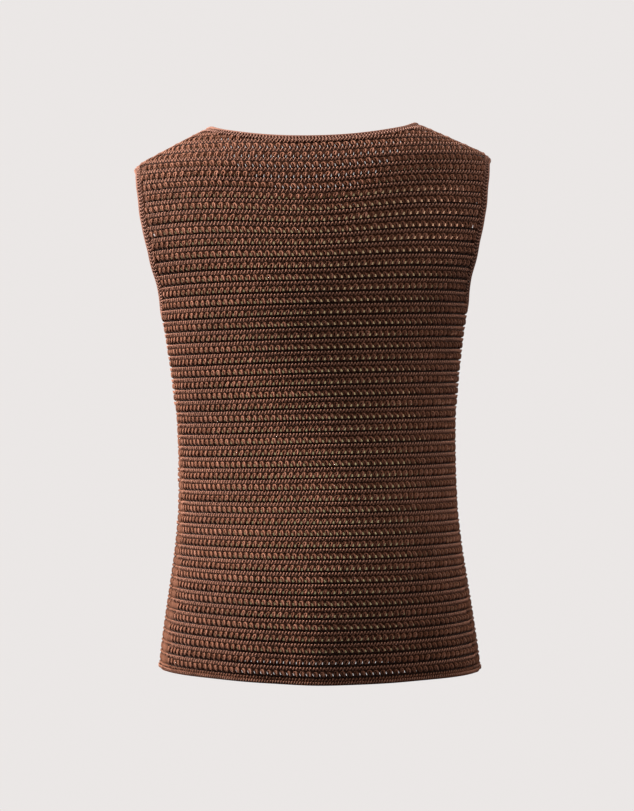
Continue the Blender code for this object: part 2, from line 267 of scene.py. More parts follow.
def smooth_curve(rows, name):
    """A monotone cubic through one named column of a table, with z and the value in metres."""
    z = np.array([row.z for row in rows], float)[::-1] * MM
    scale = 1.0 if name in ("turn", "tilt") else MM
    value = np.array([getattr(row, name) for row in rows], float)[::-1] * scale
    step = np.diff(z)
    slope = np.diff(value) / step
    tangent = np.zeros_like(value)
    same_way = slope[:-1] * slope[1:] > 0
    mean = 2 * slope[:-1] * slope[1:] / np.where(same_way, slope[:-1] + slope[1:], 1.0)
    tangent[1:-1] = np.where(same_way, mean, 0.0)
    tangent[0], tangent[-1] = slope[0], slope[-1]

    def curve(at):
        at = np.clip(at, z[0], z[-1])
        i = np.clip(np.searchsorted(z, at, side="right") - 1, 0, len(step) - 1)
        t = (at - z[i]) / step[i]
        rise = (3 - 2 * t) * t * t
        early = t * (1 - t) ** 2 * step[i] * tangent[i]
        late = t * t * (t - 1) * step[i] * tangent[i + 1]
        return value[i] * (1 - rise) + value[i + 1] * rise + early + late

    return curve


form = {name: smooth_curve(BODY, name) for name in Level._fields[1:]}
armhole_edge = {BACK: smooth_curve(ARMHOLE, "back_edge"), FRONT: smooth_curve(ARMHOLE, "front_edge")}
seam_depth = smooth_curve(SIDE_SEAM, "depth")
repeat_width = smooth_curve(REPEAT, "width")
panel_depth = {BACK: form["back_depth"], FRONT: form["front_depth"]}


def half_width(level):
    """The body form's half width, which above the shoulder tips is the shoulder seam's."""
    share = (level - NECK_POINT_LEVEL) / (TIP_LEVEL - NECK_POINT_LEVEL)
    at_shoulder = NECK_POINT_HALF + share * (TIP_HALF - NECK_POINT_HALF)
    return np.where(level > TIP_LEVEL, at_shoulder, form["half_width"](level))


def end_angle(panel, level):
    """The ellipse's angle, from the middle of the panel, at which the panel ends."""
    at_side = -panel * seam_depth(level)
    edge = np.where(level > ARMPIT_LEVEL, armhole_edge[panel](level), at_side)
    edge = np.where(level > TIP_LEVEL, 0.0, edge)
    return np.arccos(edge / panel_depth[panel](level))


def trough_depth(panel, x, level):
    """How far the troughs draw the cloth in."""
    total = np.zeros(np.broadcast(x, level).shape)
    for trough in TROUGHS:
        if trough.panel == panel:
            across = np.exp(-(((x - trough.x * MM) / (trough.width * MM)) ** 2))
            share = np.clip((trough.top * MM - level) / (trough.top * MM - HEM_LEVEL), 0, 1)
            total = total + trough.depth * MM * across * share ** 1.5
    return total


def body_point(panel, angle, level):
    """A point of the cloth's mean outer face: angle from the panel's middle, and the row's level."""
    x = half_width(level) * np.sin(angle)
    depth = panel_depth[panel](level) * np.cos(angle) - trough_depth(panel, x, level)
    y = panel * depth - form["turn"](level) * x
    middle = np.exp(-((x / SAG_REACH) ** 2))
    z = level - form["sag"](level) * middle + form["tilt"](level) * x
    z = z + form["lift"](level) * np.abs(np.sin(angle)) ** LIFT_POWER
    return np.stack(np.broadcast_arrays(x, y, z), axis=-1)


def unit(vectors):
    return vectors / np.linalg.norm(vectors, axis=-1, keepdims=True)


def outward(panel, angle, level):
    """Unit normal of the cloth, away from the body."""
    small_angle, small_level = 0.004, 0.4 * MM
    along = body_point(panel, angle + small_angle, level) - body_point(panel, angle - small_angle, level)
    up = body_point(panel, angle, level + small_level) - body_point(panel, angle, level - small_level)
    return unit(-panel * np.cross(along, up))


def neck_height(panel, x):
    """Height of a panel's neck edge, by its distance from the middle."""
    share = np.clip(np.abs(x) / NECK_POINT_HALF, 0, 1) ** NECK_POWER[panel]
    return NECK_POINT_LEVEL - NECK_DROP[panel] * (1 - share)


def yarn_points(points, rise, thickness=1.0):
    """Points with their share of painted light, 0 for full painted shade deep in the cloth and 1 where it
    stands out, and their thickness.
    """
    painted_light_share = np.clip((rise - DEEPEST) / (FARTHEST_OUT - DEEPEST), 0, 1)
    thickness = np.broadcast_to(thickness, painted_light_share.shape)
    return np.concatenate([points, painted_light_share[..., None], thickness[..., None]], axis=-1)


class Cloth:
    """A panel's surface, read by distance across from the middle, level and rise off the cloth."""

    def __init__(self, panel):
        self.panel = panel
        self.levels = np.arange(HEM_LEVEL - 2 * LEVEL_STEP, NECK_POINT_LEVEL + LEVEL_STEP, LEVEL_STEP)
        self.across = np.arange(-ACROSS_MOST, ACROSS_MOST + ACROSS_STEP / 2, ACROSS_STEP)
        angles = np.linspace(-WIDEST_ANGLE, WIDEST_ANGLE, ANGLES)
        column = self.levels[:, None]
        steps = np.linalg.norm(np.diff(body_point(panel, angles, column), axis=1), axis=2)
        run = np.concatenate([np.zeros((len(column), 1)), np.cumsum(steps, axis=1)], axis=1)
        run -= run[:, [len(angles) // 2]]
        at = np.array([np.interp(self.across, row, angles) for row in run])
        self.points = body_point(panel, at, column)
        self.normals = outward(panel, at, column)
        ends = end_angle(panel, self.levels)
        self.reaches = np.array([np.interp(end, angles, row) for end, row in zip(ends, run)])
        over = self.points[:, :, 2] - neck_height(panel, self.points[:, :, 0])
        last = (over < 0).cumprod(axis=0).sum(axis=0) - 1
        following = np.minimum(last + 1, len(self.levels) - 1)
        low = np.take_along_axis(over, last[None], 0)[0]
        high = np.take_along_axis(over, following[None], 0)[0]
        share = np.where(high > low, -low / np.where(high > low, high - low, 1.0), 0.0)
        self.tops = self.levels[last] + np.clip(share, 0, 1) * LEVEL_STEP
        self.shift = SHIFT[panel]

    def width(self, level):
        """Width of one mesh repeat."""
        return float(repeat_width(level)) * GAUGE[self.panel]

    def reach(self, level):
        """How far across the panel goes from its middle."""
        return np.interp(level, self.levels, self.reaches)

    def top(self, across):
        """The highest level that the panel has at a distance across."""
        return np.interp(across, self.across, self.tops)

    def holds(self, across, level, spare=0.0):
        """Whether a point is on the panel, with some spare."""
        return (np.abs(across) < self.reach(level) - spare) & (level < self.top(across) - spare)

    def place(self, across, level, rise, margin=EDGE_MARGIN, thickness=1.0):
        """Yarn points on the cloth, drawn in to the panel's edges where they would pass them."""
        level = np.minimum(level, self.top(across) - margin)
        reach = self.reach(level)
        across = np.clip(across, margin - reach, reach - margin)
        fade = np.clip((reach - np.abs(across)) / EDGE_FADE, EDGE_SHARE, 1)
        rise = rise * np.where(level < ARMPIT_LEVEL, fade, 1)
        column = (across - self.across[0]) / ACROSS_STEP
        row = (level - self.levels[0]) / LEVEL_STEP
        c = np.clip(column.astype(int), 0, len(self.across) - 2)
        r = np.clip(row.astype(int), 0, len(self.levels) - 2)
        tc, tr = (column - c)[..., None], (row - r)[..., None]

        def read(grid):
            low = grid[r, c] * (1 - tc) + grid[r, c + 1] * tc
            high = grid[r + 1, c] * (1 - tc) + grid[r + 1, c + 1] * tc
            return low * (1 - tr) + high * tr

        laid = read(self.points) + unit(read(self.normals)) * rise[..., None]
        return yarn_points(laid, rise, thickness)


def run_along(points):
    """Distance along a line at each of its points."""
    return np.concatenate([[0], np.cumsum(np.linalg.norm(np.diff(points, axis=0), axis=1))])


def ridge_levels():
    """Levels of the knit's ridges, one row pitch apart along the middle of the back."""
    fine = np.arange(HEM_LEVEL, NECK_POINT_LEVEL, 0.5 * MM)
    run = run_along(body_point(BACK, 0.0, fine))
    return np.interp(np.arange(FIRST_RIDGE, run[-1], ROW_PITCH), run, fine)


def pattern_half(cloth, level):
    """Half width of the mesh pattern: the whole panel, but for plain strips low down at the sides."""
    most = float(cloth.reach(level))
    if level < PLAIN_TOP:
        stagger = STRIP_STAGGER[int((level - HEM_LEVEL) / ROW_PITCH) % len(STRIP_STAGGER)]
        most = min(most, (PATTERN_REPEATS / 2 + stagger) * float(repeat_width(level)))
    return most


# Objects and yarns

def new_object(name, data, material=None):
    """A new object in the scene, with its material if it has one."""
    if material:
        data.materials.append(material)
    made = bpy.data.objects.new(name, data)
    bpy.context.scene.collection.objects.link(made)
    return made


def keep_number(mesh, name, values):
    """Keeps a number for each point of a mesh, for the material or the yarn to read."""
    layer = mesh.attributes.new(name, "FLOAT", "POINT")
    layer.data.foreach_set("value", values.astype(np.float32).ravel())


def mesh_from(name, points, faces):
    """A mesh from points and quads or triangles, shaded smooth, with unused points left out."""
    used, index = np.unique(faces, return_inverse=True)
    index = index.reshape(faces.shape)
    mesh = bpy.data.meshes.new(name)
    mesh.vertices.add(len(used))
    mesh.vertices.foreach_set("co", points[used, :3].astype(np.float32).ravel())
    mesh.loops.add(index.size)
    mesh.loops.foreach_set("vertex_index", index.astype(np.int32).ravel())
    mesh.polygons.add(len(faces))
    mesh.polygons.foreach_set("loop_start", np.arange(0, index.size, faces.shape[1], dtype=np.int32))
    mesh.update(calc_edges=True)
    mesh.validate()
    mesh.shade_smooth()
    keep_number(mesh, "painted_light_share", points[used, 3])
    return mesh


def strand_mesh(name, strands):
    """A mesh of edges only: each strand array holds one or more strands of points."""
    points, edges, start = [], [], 0
    for strand in strands:
        strand = strand.reshape((-1,) + strand.shape[-2:])
        count, length = strand.shape[:2]
        index = start + np.arange(count * length).reshape(count, length)
        points.append(strand.reshape(-1, 5))
        edges.append(np.stack([index[:, :-1], index[:, 1:]], axis=-1).reshape(-1, 2))
        start += count * length
    points, edges = np.concatenate(points), np.concatenate(edges)
    mesh = bpy.data.meshes.new(name)
    mesh.vertices.add(len(points))
    mesh.vertices.foreach_set("co", points[:, :3].astype(np.float32).ravel())
    mesh.edges.add(len(edges))
    mesh.edges.foreach_set("vertices", edges.astype(np.int32).ravel())
    mesh.update()
    keep_number(mesh, "painted_light_share", points[:, 3])
    keep_number(mesh, "thickness", points[:, 4])
    return mesh


def set_inputs(node, values):
    """Sets a node's sockets, by name or number."""
    for name, value in values.items():
        node.inputs[name].default_value = value


def add_node(tree, kind, values=(), operation=None):
    """A new node with these values in its sockets."""
    node = tree.nodes.new(kind)
    if operation:
        node.operation = operation
    set_inputs(node, dict(values))
    return node


def add_links(tree, links):
    """Links sockets, each told as a node and its output, then a node and its input."""
    for source, output, target, socket in links:
        tree.links.new(source.outputs[output], target.inputs[socket])


def add_sockets(tree, way, kind, names):
    """New sockets of one kind on a node group."""
    return [tree.interface.new_socket(name, in_out=way, socket_type=kind) for name in names]


def yarn_tree():
    """Geometry Nodes that lay a round yarn along every strand of a mesh of edges."""
    name = "Yarn along strands"
    if name in bpy.data.node_groups:
        return bpy.data.node_groups[name]
    tree = bpy.data.node_groups.new(name, "GeometryNodeTree")
    node = partial(add_node, tree)
    add_sockets(tree, "INPUT", "NodeSocketGeometry", ["Strands"])
    add_sockets(tree, "INPUT", "NodeSocketFloat", ["Yarn Radius"])[0].subtype = "DISTANCE"
    add_sockets(tree, "INPUT", "NodeSocketInt", ["Sides"])
    add_sockets(tree, "INPUT", "NodeSocketMaterial", ["Material"])
    add_sockets(tree, "OUTPUT", "NodeSocketGeometry", ["Yarns"])
    given, result = node("NodeGroupInput"), node("NodeGroupOutput")
    path = node("GeometryNodeMeshToCurve")
    ring = node("GeometryNodeCurvePrimitiveCircle")
    thickness = node("GeometryNodeInputNamedAttribute", {"Name": "thickness"})
    tube = node("GeometryNodeCurveToMesh", {"Fill Caps": True})
    smooth = node("GeometryNodeSetShadeSmooth")
    real = node("GeometryNodeRealizeInstances")
    finish = node("GeometryNodeSetMaterial")
    add_links(tree, [
        (given, "Strands", path, "Mesh"), (given, "Sides", ring, "Resolution"),
        (given, "Yarn Radius", ring, "Radius"), (path, "Curve", tube, "Curve"),
        (ring, "Curve", tube, "Profile Curve"), (thickness, "Attribute", tube, "Scale"),
        (tube, "Mesh", smooth, "Geometry"), (smooth, "Geometry", real, "Geometry"),
        (real, "Geometry", finish, "Geometry"), (given, "Material", finish, "Material"),
        (finish, "Geometry", result, "Yarns"),
    ])
    return tree


def make_yarn(name, strands, radius, material, sides=4):
    """A piece of yarns laid along strands, as a plain mesh."""
    made = new_object(name, strand_mesh(name + "_strands", strands), material)
    modifier = made.modifiers.new("Yarn", "NODES")
    tree = yarn_tree()
    modifier.node_group = tree
    sockets = {item.name: item.identifier for item in tree.interface.items_tree}
    modifier[sockets["Yarn Radius"]] = radius
    modifier[sockets["Sides"]] = sides
    modifier[sockets["Material"]] = material
    plain = bpy.data.meshes.new_from_object(made.evaluated_get(bpy.context.evaluated_depsgraph_get()))
    plain.name = name
    plain.attributes.remove(plain.attributes["thickness"])
    strands_used = made.data
    made.modifiers.remove(modifier)
    made.data = plain
    bpy.data.meshes.remove(strands_used)
    return made


def coil(cloth, level, low, high, pitch, cord, scale=1.0):
    """A cord that coils along a row, with front strokes that lean up to the right."""
    across = np.arange(low, high, pitch / TURN_POINTS)
    turn = (np.arange(len(across)) + 0.5) * (2 * np.pi / TURN_POINTS)
    across = across - COIL_SLANT * pitch * np.sin(2 * turn)
    height = -cord.half_height * np.cos(turn)
    stand = cord.rise + cord.depth * np.sin(turn) + cord.tip * np.sign(height)
    thickness = np.where(height < 0, COIL_FOOT, COIL_CREST)
    return cloth.place(across, level + height * scale, stand, thickness=thickness)


def row_spans(cloth, level):
    """The stretches of a row that lie on the panel: one, or two beside the neck."""
    reach = float(cloth.reach(level))
    fine = np.arange(-reach, reach, 1 * MM)
    inside = cloth.holds(fine, np.full_like(fine, level))
    if not inside.any():
        return []
    edges = np.flatnonzero(np.diff(np.concatenate([[0], inside.astype(int), [0]])))
    spans = [(fine[a], fine[b - 1]) for a, b in zip(edges[::2], edges[1::2])]
    return [span for span in spans if span[1] - span[0] > SHORTEST_SPAN]


# Materials

def knit_group():
    """Shader group: painted shade, random tone and bump of a plied, slightly fuzzy yarn, whose tops that
    stand out are painted a little paler as a painted highlight and whose deep parts are painted more
    saturated.
    """
    name = "Plied yarn"
    if name in bpy.data.node_groups:
        return bpy.data.node_groups[name]
    tree = bpy.data.node_groups.new(name, "ShaderNodeTree")
    node = partial(add_node, tree)
    add_sockets(tree, "INPUT", "NodeSocketColor", ["Colour"])
    add_sockets(tree, "INPUT", "NodeSocketFloat", ["Painted Light Share", "Deep Shade", "Variation", "Strand Scale"])
    add_sockets(tree, "OUTPUT", "NodeSocketColor", ["Colour"])
    add_sockets(tree, "OUTPUT", "NodeSocketFloat", ["Roughness", "Height"])
    given, result = node("NodeGroupInput"), node("NodeGroupOutput")
    where = node("ShaderNodeTexCoord")
    broad = node("ShaderNodeTexNoise", {"Scale": 26, "Detail": 3})
    strand = node("ShaderNodeTexNoise", {"Detail": 4, "Roughness": 0.7})
    fibre = node("ShaderNodeTexVoronoi", {"Scale": 2600})
    total = node("ShaderNodeMath", operation="ADD")
    low = node("ShaderNodeMath", {0: 1.0}, "SUBTRACT")
    high = node("ShaderNodeMath", {0: 1.0}, "ADD")
    spread = node("ShaderNodeMapRange", {"From Min": 0.6, "From Max": 1.4})
    # Painted shade: the colour darkens from full down to the deep shade the deeper the yarn lies, times a
    # random tone
    depth = node("ShaderNodeMapRange", {"To Max": 1.0})
    darken = node("ShaderNodeMath", operation="MULTIPLY")
    shade = node("ShaderNodeMix", {0: 1.0})
    shade.data_type = "RGBA"
    shade.blend_type = "MULTIPLY"
    # Painted highlight and shade: yarn that stands out is painted less saturated, deep yarn more saturated
    painted_light_saturation = node("ShaderNodeMapRange", {"To Min": 1.12, "To Max": 0.86})
    painted_light_tint = node("ShaderNodeHueSaturation")
    height = node("ShaderNodeMath", {1: 0.5}, "MULTIPLY_ADD")
    rough = node("ShaderNodeMapRange", {"To Min": 0.72, "To Max": 0.95})
    add_links(tree, [
        (where, "Object", broad, "Vector"), (where, "Object", strand, "Vector"),
        (where, "Object", fibre, "Vector"), (given, "Strand Scale", strand, "Scale"),
        (broad, "Fac", total, 0), (strand, "Fac", total, 1), (given, "Variation", low, 1),
        (given, "Variation", high, 1), (total, "Value", spread, "Value"),
        (low, "Value", spread, "To Min"), (high, "Value", spread, "To Max"),
        (given, "Painted Light Share", depth, "Value"), (given, "Deep Shade", depth, "To Min"),
        (depth, "Result", darken, 0), (spread, "Result", darken, 1), (given, "Colour", shade, 6),
        (darken, "Value", shade, 7), (given, "Painted Light Share", painted_light_saturation, "Value"),
        (painted_light_saturation, "Result", painted_light_tint, "Saturation"), (shade, 2, painted_light_tint, "Color"),
        (painted_light_tint, "Color", result, "Colour"), (strand, "Fac", rough, "Value"),
        (rough, "Result", result, "Roughness"), (fibre, "Distance", height, 0),
        (strand, "Fac", height, 2), (height, "Value", result, "Height"),
    ])
    return tree


def knit_material(name, colour, deep_shade, variation, strand_scale, bump, inside_shows=False):
    """Yarn with painted shade, darker the deeper it lies. A sheet's inner side, where it shows, gets no
    painted shade.
    """
    if name in bpy.data.materials:
        return bpy.data.materials[name]
    material = bpy.data.materials.new(name)
    material.use_nodes = True
    tree = material.node_tree
    shader = tree.nodes["Principled BSDF"]
    set_inputs(shader, {"Specular IOR Level": 0.14, "Sheen Weight": 0.05, "Sheen Roughness": 0.5,
                        "Sheen Tint": (0.95, 0.6, 0.48, 1)})
    group = tree.nodes.new("ShaderNodeGroup")
    group.node_tree = knit_group()
    set_inputs(group, {"Colour": (*colour, 1), "Deep Shade": deep_shade, "Variation": variation,
                       "Strand Scale": strand_scale})
    relief = add_node(tree, "ShaderNodeBump", {"Strength": bump, "Distance": 0.4 * MM})
    painted_light_share = tree.nodes.new("ShaderNodeAttribute")
    painted_light_share.attribute_name = "painted_light_share"
    if inside_shows:
        either = add_node(tree, "ShaderNodeMath", operation="MAXIMUM")
        side = tree.nodes.new("ShaderNodeNewGeometry")
        add_links(tree, [(painted_light_share, "Fac", either, 0), (side, "Backfacing", either, 1),
                         (either, "Value", group, "Painted Light Share")])
    else:
        add_links(tree, [(painted_light_share, "Fac", group, "Painted Light Share")])
    add_links(tree, [
        (group, "Colour", shader, "Base Color"),
        (group, "Roughness", shader, "Roughness"),
        (group, "Height", relief, "Height"),
        (relief, "Normal", shader, "Normal"),
    ])
    return material


def materials(look):
    """The three yarn finishes: panels, bands, and the ground cloth that lies deeper, whose outer side
    takes the deepest painted shade.
    """
    deep = look.deep_shade
    panel = knit_material("panel_yarn", look.panel_colour, deep, 0.18, 900, 0.5)
    band = knit_material("band_yarn", look.band_colour, deep, 0.14, 900, 0.5)
    ground = knit_material("ground_knit_painted_shade", look.panel_colour, deep, 0.2, 700, 0.7, True)
    return panel, band, ground


# Panels

def ground_cloth(cloth, ridges, name, material):
    """The close knit behind the loops, painted dark with painted shade where it lies deep: one sheet, with
    a real hole between each two loops on the back.
    """
    share_step = 1.0 / STEPS_A_REPEAT
    half_count = int(ACROSS_MOST / (cloth.width(HEM_LEVEL) * share_step)) - 1
    shares = (np.arange(-half_count, half_count + 1) + 0.5) * share_step + cloth.shift
    lines = [(HEM_LEVEL, GROUND_RISE, None), (HEM_LEVEL + HEM_FOLD, HEM_FOLD_RISE, None)]
    acrosses = [shares * cloth.width(level) for level, _, _ in lines]
    for k in range(len(ridges) - 1):
        scale = (ridges[k + 1] - ridges[k]) / ROW_PITCH * MM
        off = shares - cloth.shift - ROW_OFFSETS[k % 2]
        off = off - np.round(off)
        for line in GROUND:
            level = ridges[k] + line.height * scale
            backdrop_shows = line.hole != 1 and (level > OVER_FRONT_NECK or k < LOW_ROWS)
            narrow = line.hole * (NARROW_HOLE if backdrop_shows else 1)
            drawn = shares + np.where(np.abs(off) < share_step, off * (narrow - 1), 0)
            lean = LEANS[k % 2] * (line.height * MM - LOOP_MIDDLE) if line.hole != 1 else 0
            lines.append((level, line.rise * MM, k))
            acrosses.append(drawn * cloth.width(level) + lean)
    lines += [(ridges[-1], GROUND_RISE, None), (NECK_POINT_LEVEL, GROUND_RISE, None)]
    acrosses += [shares * cloth.width(level) for level, _, _ in lines[-2:]]
    acrosses = np.array(acrosses)
    levels, rises = (np.broadcast_to([[line[at]] for line in lines], acrosses.shape) for at in (0, 1))
    points = cloth.place(acrosses, levels, rises, 0.0)
    index = np.arange(points.shape[0] * points.shape[1]).reshape(points.shape[:2])
    inside = cloth.holds(acrosses, levels)
    faces = []
    for r in range(len(lines) - 1):
        keep = inside[r, :-1] | inside[r, 1:] | inside[r + 1, :-1] | inside[r + 1, 1:]
        k = lines[r][2]
        if cloth.panel == BACK and k is not None and lines[r][1] < lines[r + 1][1]:
            middle = (acrosses[r, :-1] + acrosses[r + 1, 1:]) / 2
            level = np.full_like(middle, (lines[r][0] + lines[r + 1][0]) / 2)
            place = (shares[:-1] + shares[1:]) / 2 - cloth.shift - ROW_OFFSETS[k % 2]
            at_hole = np.abs(place - np.round(place)) < share_step / 4
            at_hole &= np.abs(middle) < pattern_half(cloth, float(level[0])) - HOLE_TO_SIDE
            keep &= ~(at_hole & cloth.holds(middle, level, HOLE_TO_EDGE))
        quads = np.stack([index[r, :-1], index[r, 1:], index[r + 1, 1:], index[r + 1, :-1]], axis=-1)
        faces.append(quads[keep])
    faces = np.concatenate(faces)
    flat = points.reshape(-1, 5)
    corners = flat[faces, :3]
    size = np.linalg.norm(np.cross(corners[:, 2] - corners[:, 0], corners[:, 3] - corners[:, 1]), axis=1)
    faces = faces[size > SMALLEST_FACE]
    if cloth.panel == FRONT:
        faces = faces[:, ::-1]
    return new_object(name, mesh_from(name, flat, faces), material)


def ridge_strands(cloth, ridges, scales, chance, cord=RIDGE):
    """The raised cord that runs along every row of the pattern."""
    strands = []
    for level, scale in zip(ridges, scales):
        pitch = cloth.width(level) / 2
        most = pattern_half(cloth, level)
        for low, high in row_spans(cloth, level):
            low, high = max(low, -most), min(high, most)
            start = low + chance.uniform(*RIDGE_START) * pitch
            middle = level + RIDGE_MIDDLE * scale
            strands.append(coil(cloth, middle, start, high - CORD_END, pitch, cord, scale))
    return strands


def loop_strands(cloth, ridges, chance):
    """The open row of loops between each ridge and the next."""
    share, height, rise, thickness = np.array(LOOP).T
    height = height * MM
    strands = []
    for k in range(len(ridges) - 1):
        width = cloth.width(ridges[k])
        scale = (ridges[k + 1] - ridges[k]) / ROW_PITCH
        half = pattern_half(cloth, ridges[k])
        most = int(half / width) + 1
        centre = (np.arange(-most, most + 1) + cloth.shift + ROW_OFFSETS[k % 2] + 0.5) * width
        middle = np.full_like(centre, ridges[k] + LOOP_MIDDLE * scale)
        keep = np.abs(centre) < half - LOOP_MARGIN_SHARE * width
        centre = centre[keep & cloth.holds(centre, middle, LOOP_MARGIN)]
        if not len(centre):
            continue
        lean = LEANS[k % 2] + chance.normal(0, UNEVEN_SHARE, len(centre))
        spread = chance.normal(1.0, UNEVEN_SHARE, (len(centre), 1))
        across = centre[:, None] + share * width * spread
        across = across + lean[:, None] * (height - LOOP_MIDDLE)
        level = ridges[k] + height * scale + chance.normal(0, UNEVEN_LOOP, (len(centre), 1))
        lift = rise * MM + chance.normal(0, UNEVEN_LOOP, (len(centre), 1))
        across = across + chance.normal(0, UNEVEN, across.shape)
        level, lift = np.broadcast_arrays(level, lift)
        level = level + chance.normal(0, UNEVEN, across.shape)
        loops = cloth.place(across, level, lift, thickness=thickness)
        # Each loop's share of painted light is scaled at random: a random tone, and more painted shade on
        # the loops than on the ridges
        loops[..., 3] *= chance.uniform(*LOOP_TONE_AND_SHADE, (len(centre), 1))
        strands.append(loops)
    return strands


def plain_strands(cloth, ridges):
    """Low smooth cords and fine upright stitches in the plain strips beside the side seams."""
    cords, stitches = [], []
    for k in range(len(ridges) - 1):
        level, above = ridges[k], ridges[k + 1]
        inner, outer = pattern_half(cloth, level), float(cloth.reach(level))
        if outer - inner < SIDE_OVERLAP:
            continue
        run = np.linspace(inner - SIDE_OVERLAP, outer, 8)
        run = np.stack([-run, run])
        cords.append(cloth.place(run, np.full_like(run, level), np.full_like(run, SIDE_CORD_RISE), 0.0))
        count = max(int((outer - inner) / SIDE_STITCH_PITCH), 1)
        across = inner + (np.arange(count) + 0.5) * (outer - inner) / count
        across = np.concatenate([-across, across])
        heights = np.linspace(level + SIDE_STITCH_END, above - SIDE_STITCH_END, 4)
        lift = np.array(SIDE_STITCH_RISES) * MM
        across, heights = np.broadcast_arrays(across[:, None], heights[None, :])
        stitches.append(cloth.place(across, heights, np.broadcast_to(lift, across.shape)))
    return cords, stitches


def hem_strands(cloth):
    """The beaded cord along the hem's edge."""
    level = HEM_LEVEL + HEM_CORD_HEIGHT
    reach = float(cloth.reach(level)) - CORD_END
    return [coil(cloth, level, -reach, reach, HEM_CORD_PITCH, HEM_CORD)]


def make_panel(panel, name, look):
    """All the pieces of one panel, riding on the body and standing for the panel's node."""
    cloth = Cloth(panel)
    ridges = ridge_levels()
    rows = np.concatenate([[2 * ridges[0] - ridges[1]], ridges])
    scales = np.gradient(ridges) / ROW_PITCH
    chance = np.random.default_rng(SEEDS[panel])
    yarn, _, ground = materials(look)
    sheet = ground_cloth(cloth, rows, name + "_ground", ground)
    radius = look.yarn_radius
    middle = len(ridges) // 2
    cords, stitches = plain_strands(cloth, rows)
    low_ridge = ridge_strands(cloth, rows[:1], scales[:1], chance, LOW_RIDGE)
    pieces = [
        make_yarn(name + "_ridges_low",
                  ridge_strands(cloth, ridges[:middle], scales[:middle], chance), radius, yarn),
        make_yarn(name + "_ridges_high",
                  ridge_strands(cloth, ridges[middle:], scales[middle:], chance), radius, yarn),
        make_yarn(name + "_loops", loop_strands(cloth, rows, chance), radius, yarn),
        make_yarn(name + "_side_cords", cords, SIDE_CORD_RADIUS, yarn, 6),
        make_yarn(name + "_side_stitches", stitches, SIDE_STITCH_RADIUS, yarn),
        make_yarn(name + "_welt", hem_strands(cloth) + low_ridge, radius, yarn),
    ]
    for piece in [sheet] + pieces:
        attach(piece, "root")
    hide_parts(name + "_panel")


def make_shoulder_seams(look):
    """The smooth rolled join along each shoulder, from the neck point to the shoulder tip."""
    yarn = materials(look)[0]
    levels = np.linspace(NECK_POINT_LEVEL, TIP_LEVEL, 24)
    strands = []
    for side in (LEFT, RIGHT):
        points = body_point(BACK, np.full(levels.shape, side * math.pi / 2), levels)
        points[:, 2] += SHOULDER_SEAM_LIFT
        # The seams get the rolls' painted shade
        strands.append(yarn_points(points, np.full(levels.shape, ROLL_SHADE)))
    seams = make_yarn("shoulder_seams", strands, SHOULDER_SEAM_RADIUS, yarn, 8)
    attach(seams, "root")


# Bands

def edge_frames(points, normals, out_side):
    """The way off a closed edge at each point, square to the edge and to the cloth's normal."""
    along = unit(np.roll(points, -1, axis=0) - np.roll(points, 1, axis=0))
    off = unit(np.cross(along, normals) * out_side)
    square = np.cross(off, along)
    square *= np.sign((square * normals).sum(axis=1, keepdims=True))
    return off, square


def even(points, normals, count):
    """A closed line and its normals read again at even distances."""
    run = run_along(np.concatenate([points, points[:1]]))
    at = np.linspace(0, run[-1], count, endpoint=False)

    def read(values):
        return np.stack([np.interp(at, run, np.append(column, column[0])) for column in values.T], axis=1)

    return read(points), unit(read(normals)), run[-1]


def edge_line(parts):
    """Points and normals along a closed edge, from each part's panel, angles and levels."""
    points = [body_point(*part) for part in parts]
    normals = [outward(*part) for part in parts]
    return np.concatenate(points), np.concatenate(normals)


def armhole_line(side):
    """One armhole's edge all the way round: down the back from the tip, then up the front."""
    bend = (1 - np.cos(np.linspace(0, np.pi, ARMHOLE_POINTS))) / 2
    down = TIP_LEVEL + (ARMPIT_LEVEL - TIP_LEVEL) * bend
    return edge_line([(panel, side * end_angle(panel, levels), levels)
                      for panel, levels in ((BACK, down[:-1]), (FRONT, down[::-1][:-1]))])


def neck_line():
    """The panels' neck edge all the way round: across the back, then back across the front."""
    parts = []
    for panel, way in ((BACK, 1), (FRONT, -1)):
        shares = np.sin(np.linspace(-np.pi / 2, np.pi / 2, NECK_POINTS))[::way][:-1]
        low = np.full(shares.shape, LOWEST_NECK)
        high = np.full(shares.shape, NECK_POINT_LEVEL)
        for _ in range(HALVINGS):
            middle = (low + high) / 2
            point = body_point(panel, shares * end_angle(panel, middle), middle)
            below = point[:, 2] < neck_height(panel, point[:, 0])
            low, high = np.where(below, middle, low), np.where(below, high, middle)
        parts.append((panel, shares * end_angle(panel, low), low))
    return edge_line(parts)


def band_base(name, points, off, square, width, material):
    """The close knit of a band, a flat ring with a rolled free edge."""
    near, far = -1.2 * MM, BAND_GAP + width - 0.6 * MM
    section = [(near, -2.6), (far, -1.9), (far, -0.5), (BAND_GAP, -0.6), (near, -2.0)]
    # The band's ground gets painted shade for its depth
    shade = np.full(len(points), BAND_SHADE)
    rings = np.stack([yarn_points(points + off * reach + square * (rise * MM), shade)
                      for reach, rise in section], axis=1)
    count, sides = rings.shape[:2]
    index = np.arange(count * sides).reshape(count, sides)
    following = np.roll(index, -1, axis=0)
    beside = np.roll(index, -1, axis=1)
    both = np.roll(following, -1, axis=1)
    faces = np.stack([index, beside, both, following], axis=-1).reshape(-1, 4)
    made = new_object(name, mesh_from(name, rings.reshape(-1, 5), faces), material)
    work = bmesh.new()
    work.from_mesh(made.data)
    bmesh.ops.recalc_face_normals(work, faces=work.faces[:])
    work.to_mesh(made.data)
    work.free()
    return made


def band_steps(line, out_side, pitch, steps):
    """Even points along a band, this many to a pitch, with the ways off its edge and off the cloth."""
    points, normals, length = even(*line, FINE_BAND_POINTS)
    points, normals, _ = even(points, normals, round(length / pitch) * steps)
    return (points, *edge_frames(points, normals, out_side))


